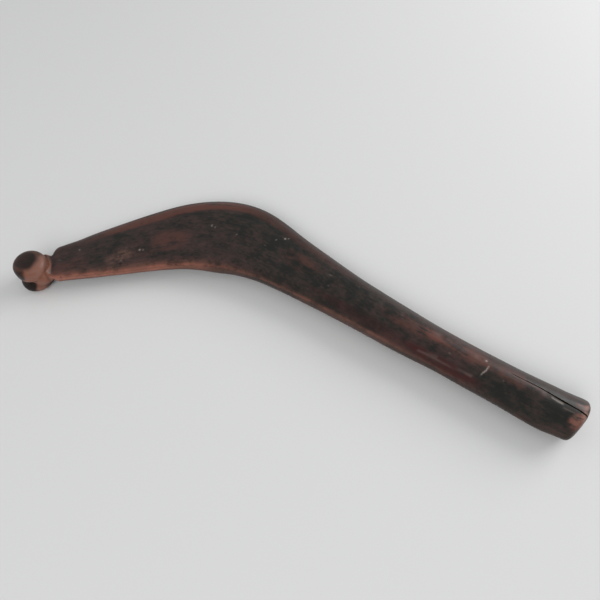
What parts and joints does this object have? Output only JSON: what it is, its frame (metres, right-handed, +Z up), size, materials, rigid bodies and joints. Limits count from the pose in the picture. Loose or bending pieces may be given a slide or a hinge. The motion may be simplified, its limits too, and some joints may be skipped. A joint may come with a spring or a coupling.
{
  "type": "boomerang",
  "caption": "Carved hardwood throwing stick with a grooved grip knob, flat blade, broad elbow and thick rounded striking limb.",
  "frame": {"origin": "centre of the bounding box's footprint, on the surface the stick lies on", "axes": "+X along the chord from the grip knob to the blunt end, +Y to the outer side of the elbow, +Z up from the surface it lies on"},
  "size_m": [0.503, 0.1486, 0.0319],
  "materials": {
    "wood": "satin, dark handling patina worn to red-brown on the edges"
  },
  "bodies": {
    "root": {"stick": "wood"}
  },
  "joints": []
}
